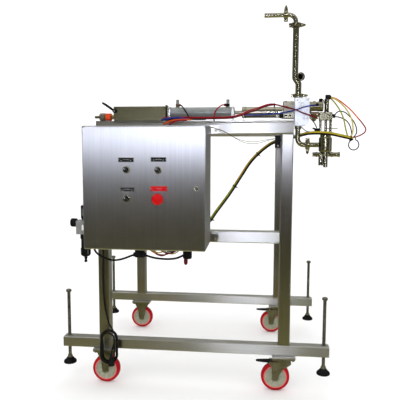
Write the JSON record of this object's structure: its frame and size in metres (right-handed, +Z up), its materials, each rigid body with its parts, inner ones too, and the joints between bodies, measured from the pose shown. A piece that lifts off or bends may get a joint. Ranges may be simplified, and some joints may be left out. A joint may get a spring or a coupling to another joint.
{
  "type": "piston liquid filler",
  "caption": "Mobile stainless frame carrying a control enclosure, an air-driven metering cylinder, a valve block with inlet riser, and a dosing nozzle.",
  "frame": {"origin": "centre of the footprint of the machine without its power lead, on the floor", "axes": "+X to the right along the front of the machine, +Y away from the operator, +Z up"},
  "size_m": [1.3405, 1.0754, 1.6731],
  "materials": {
    "brushed_frame": "long-grain brushed stainless steel",
    "brushed_enclosure": "vertical-grain brushed stainless sheet",
    "caster_zinc": "satin zinc plated pressed steel",
    "wheel_polyurethane": "red polyurethane tread on a beige nylon core",
    "foot_steel": "zinc plated screw with a black pad",
    "black_plastic": "black moulded plastic",
    "stop_red": "glossy red moulded plastic",
    "panel_plate": "zinc passivated mounting plate with grey devices",
    "regulator_grey": "grey die casting with black bowl",
    "cylinder_alu": "satin anodised",
    "polished_steel": "polished sanitary stainless steel",
    "adjuster_steel": "steel screw with a dark knob and an orange nut",
    "seal_ptfe": "white filled seal plastic",
    "hose_yellow": "bundled coloured air tubing",
    "hose_red": "bundled coloured air tubing",
    "hose_black": "black rubber hose",
    "cord_black": "black rubber-sheathed mains lead"
  },
  "bodies": {
    "machine": {"base_rail_front": "brushed_frame", "base_rail_rear": "brushed_frame", "post_front_left": "brushed_frame", "post_front_right": "brushed_frame", "post_rear_left": "brushed_frame", "post_rear_right": "brushed_frame", "top_beam_front": "brushed_frame", "top_beam_rear": "brushed_frame", "cross_tube_left": "brushed_frame", "cross_tube_right": "brushed_frame", "mid_rail": "brushed_frame", "fork_rigid_front": "caster_zinc", "fork_rigid_rear": "caster_zinc", "enclosure_body": "brushed_enclosure", "control_panel": "panel_plate", "regulator_body": "regulator_grey", "guard_box": "cylinder_alu", "air_cylinder": "cylinder_alu", "metering_cylinder": "polished_steel", "valve_block": "polished_steel", "valve_actuator": "polished_steel", "inlet_tee": "polished_steel", "riser_pipe": "polished_steel", "top_elbow": "polished_steel", "clamp_riser": "polished_steel", "clamp_top": "polished_steel", "outlet_elbow": "polished_steel", "clamp_outlet": "polished_steel", "nozzle_body": "polished_steel", "hose_loom": "hose_yellow", "hose_top": "hose_red", "air_hose": "hose_black", "power_cord": "cord_black", "cord_coil": "cord_black", "cord_plug": "black_plastic"},
    "wheel_front_left": {"wheel_front_left": "wheel_polyurethane"},
    "swivel_front": {"fork_swivel_front": "caster_zinc"},
    "wheel_front_right": {"wheel_front_right": "wheel_polyurethane"},
    "brake_front": {"brake_pedal_front": "black_plastic"},
    "levelling_front_left": {"levelling_foot_front_left": "foot_steel"},
    "levelling_front_right": {"levelling_foot_front_right": "foot_steel"},
    "wheel_rear_left": {"wheel_rear_left": "wheel_polyurethane"},
    "swivel_rear": {"fork_swivel_rear": "caster_zinc"},
    "wheel_rear_right": {"wheel_rear_right": "wheel_polyurethane"},
    "brake_rear": {"brake_pedal_rear": "black_plastic"},
    "levelling_rear_left": {"levelling_foot_rear_left": "foot_steel"},
    "levelling_rear_right": {"levelling_foot_rear_right": "foot_steel"},
    "door": {"enclosure_door": "brushed_enclosure"},
    "latch": {"door_latch": "polished_steel"},
    "selector_upper_left": {"selector_upper_left": "black_plastic"},
    "selector_upper_right": {"selector_upper_right": "black_plastic"},
    "selector_lower_left": {"selector_lower_left": "black_plastic"},
    "estop": {"estop_button": "stop_red"},
    "regulator_knob": {"regulator_knob": "black_plastic"},
    "stroke_adjuster": {"stroke_adjuster": "adjuster_steel"},
    "lock_lever": {"lock_lever": "black_plastic"},
    "piston": {"piston_rod": "polished_steel", "product_piston": "seal_ptfe"},
    "spool": {"valve_spool": "seal_ptfe"},
    "nozzle_stem": {"nozzle_stem": "polished_steel"}
  },
  "joints": [
    {"name": "wheel_front_left_spin", "type": "hinge", "parent": "machine", "child": "wheel_front_left", "pos_m": [-0.4673, -0.2603, 0.0635], "axis": [0, 1, 0], "continuous": true},
    {"name": "swivel_front_turn", "type": "hinge", "parent": "machine", "child": "swivel_front", "pos_m": [0.3419, -0.2603, 0.135], "axis": [0, 0, 1], "continuous": true},
    {"name": "wheel_front_right_spin", "type": "hinge", "parent": "swivel_front", "child": "wheel_front_right", "pos_m": [0.3069, -0.2603, 0.0635], "axis": [0, 1, 0], "continuous": true},
    {"name": "brake_front_press", "type": "hinge", "parent": "swivel_front", "child": "brake_front", "pos_m": [0.2873, -0.2603, 0.132], "axis": [0, -1, 0], "range_deg": [0, 10]},
    {"name": "levelling_front_left_screw", "type": "slide", "parent": "machine", "child": "levelling_front_left", "axis": [0, 0, 1], "range_m": [-0.08, 0.03]},
    {"name": "levelling_front_right_screw", "type": "slide", "parent": "machine", "child": "levelling_front_right", "axis": [0, 0, 1], "range_m": [-0.08, 0.03]},
    {"name": "wheel_rear_left_spin", "type": "hinge", "parent": "machine", "child": "wheel_rear_left", "pos_m": [-0.4673, 0.4957, 0.0635], "axis": [0, 1, 0], "continuous": true},
    {"name": "swivel_rear_turn", "type": "hinge", "parent": "machine", "child": "swivel_rear", "pos_m": [0.3419, 0.4957, 0.135], "axis": [0, 0, 1], "continuous": true},
    {"name": "wheel_rear_right_spin", "type": "hinge", "parent": "swivel_rear", "child": "wheel_rear_right", "pos_m": [0.3069, 0.4957, 0.0635], "axis": [0, 1, 0], "continuous": true},
    {"name": "brake_rear_press", "type": "hinge", "parent": "swivel_rear", "child": "brake_rear", "pos_m": [0.2873, 0.4957, 0.132], "axis": [0, -1, 0], "range_deg": [0, 10]},
    {"name": "levelling_rear_left_screw", "type": "slide", "parent": "machine", "child": "levelling_rear_left", "axis": [0, 0, 1], "range_m": [-0.08, 0.03]},
    {"name": "levelling_rear_right_screw", "type": "slide", "parent": "machine", "child": "levelling_rear_right", "axis": [0, 0, 1], "range_m": [-0.08, 0.03]},
    {"name": "door_hinge", "type": "hinge", "parent": "machine", "child": "door", "pos_m": [-0.4847, -0.4862, 0.917], "axis": [0, 0, -1], "range_deg": [0, 115]},
    {"name": "latch_turn", "type": "hinge", "parent": "door", "child": "latch", "pos_m": [-0.0217, -0.5017, 0.919], "axis": [0, 1, 0], "range_deg": [0, 90]},
    {"name": "selector_upper_left_turn", "type": "hinge", "parent": "door", "child": "selector_upper_left", "pos_m": [-0.3027, -0.5017, 0.992], "axis": [0, 1, 0], "range_deg": [0, 76]},
    {"name": "selector_upper_right_turn", "type": "hinge", "parent": "door", "child": "selector_upper_right", "pos_m": [-0.1737, -0.5017, 0.992], "axis": [0, 1, 0], "range_deg": [0, 76]},
    {"name": "selector_lower_left_turn", "type": "hinge", "parent": "door", "child": "selector_lower_left", "pos_m": [-0.3027, -0.5017, 0.877], "axis": [0, 1, 0], "range_deg": [0, 76]},
    {"name": "estop_press", "type": "slide", "parent": "door", "child": "estop", "axis": [0, 1, 0], "range_m": [0, 0.004], "stiffness_N_per_m": 600},
    {"name": "regulator_turn", "type": "hinge", "parent": "machine", "child": "regulator_knob", "pos_m": [-0.5627, -0.3857, 0.759], "axis": [1, 0, 0], "range_deg": [-180, 180]},
    {"name": "stroke_adjust", "type": "hinge", "parent": "machine", "child": "stroke_adjuster", "pos_m": [-0.4327, -0.2603, 1.214], "axis": [1, 0, 0], "range_deg": [-180, 180]},
    {"name": "lock_lever_turn", "type": "hinge", "parent": "machine", "child": "lock_lever", "pos_m": [-0.4027, -0.2957, 1.238], "axis": [0, 1, 0], "range_deg": [-50, 35]},
    {"name": "piston_stroke", "type": "slide", "parent": "machine", "child": "piston", "axis": [1, 0, 0], "range_m": [-0.03, 0.07]},
    {"name": "spool_shift", "type": "slide", "parent": "machine", "child": "spool", "axis": [1, 0, 0], "range_m": [-0.01, 0.008]},
    {"name": "nozzle_lift", "type": "slide", "parent": "machine", "child": "nozzle_stem", "axis": [0, 0, 1], "range_m": [0, 0.012]}
  ]
}
